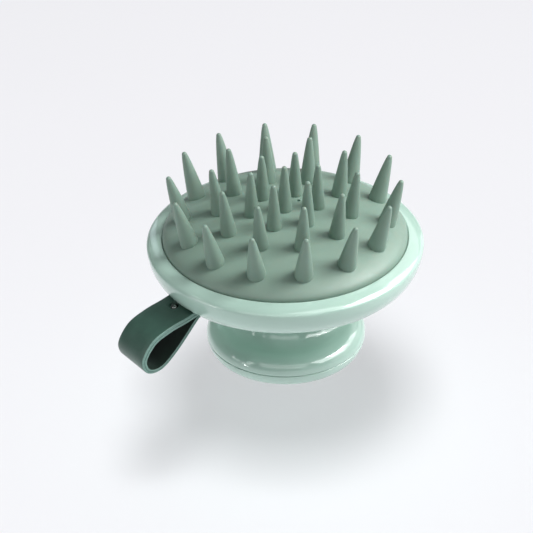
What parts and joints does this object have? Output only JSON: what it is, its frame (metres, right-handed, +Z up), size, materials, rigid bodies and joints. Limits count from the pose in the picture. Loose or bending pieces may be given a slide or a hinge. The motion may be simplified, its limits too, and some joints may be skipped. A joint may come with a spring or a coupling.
{
  "type": "scalp massager brush",
  "caption": "Hand-held scalp massager: knob handle under a round bowl that holds a domed pad of soft cone bristles, with a strap loop under the rim.",
  "frame": {"origin": "centre of the knob's flat foot", "axes": "+Z up from the foot towards the bristle tips; the strap leaves the rim towards -X and -Y, at 217 degrees round from +X"},
  "size_m": [0.0932, 0.085, 0.0642],
  "materials": {
    "mint_plastic": "polished pale mint moulded plastic",
    "sage_silicone": "matte sage green silicone",
    "inner_plastic": "plain moulded plastic, hidden inside",
    "steel": "plain steel fasteners",
    "dark_strap": "satin dark teal green strap with lighter cut edges"
  },
  "bodies": {
    "brush": {"knob_cap": "mint_plastic", "knob_shell": "mint_plastic", "bowl_shell": "mint_plastic", "pad": "sage_silicone", "backing_plate": "inner_plastic", "screw_1": "steel", "screw_2": "steel", "screw_3": "steel", "strap_pin": "steel", "bristle_outer_01": "sage_silicone", "bristle_outer_02": "sage_silicone", "bristle_outer_03": "sage_silicone", "bristle_outer_04": "sage_silicone", "bristle_outer_05": "sage_silicone", "bristle_outer_06": "sage_silicone", "bristle_outer_07": "sage_silicone", "bristle_outer_08": "sage_silicone", "bristle_outer_09": "sage_silicone", "bristle_outer_10": "sage_silicone", "bristle_outer_11": "sage_silicone", "bristle_outer_12": "sage_silicone", "bristle_outer_13": "sage_silicone", "bristle_outer_14": "sage_silicone", "bristle_middle_01": "sage_silicone", "bristle_middle_02": "sage_silicone", "bristle_middle_03": "sage_silicone", "bristle_middle_04": "sage_silicone", "bristle_middle_05": "sage_silicone", "bristle_middle_06": "sage_silicone", "bristle_middle_07": "sage_silicone", "bristle_middle_08": "sage_silicone", "bristle_middle_09": "sage_silicone", "bristle_middle_10": "sage_silicone", "bristle_inner_01": "sage_silicone", "bristle_inner_02": "sage_silicone", "bristle_inner_03": "sage_silicone", "bristle_inner_04": "sage_silicone", "bristle_inner_05": "sage_silicone", "bristle_inner_06": "sage_silicone", "bristle_centre_01": "sage_silicone"},
    "strap": {"strap": "dark_strap", "strap_rivet": "steel"}
  },
  "joints": [
    {"name": "strap_swing", "type": "hinge", "parent": "brush", "child": "strap", "pos_m": [-0.02779, -0.02094, 0.0312], "axis": [0.6018, -0.7986, 0], "range_deg": [0, 30]}
  ]
}
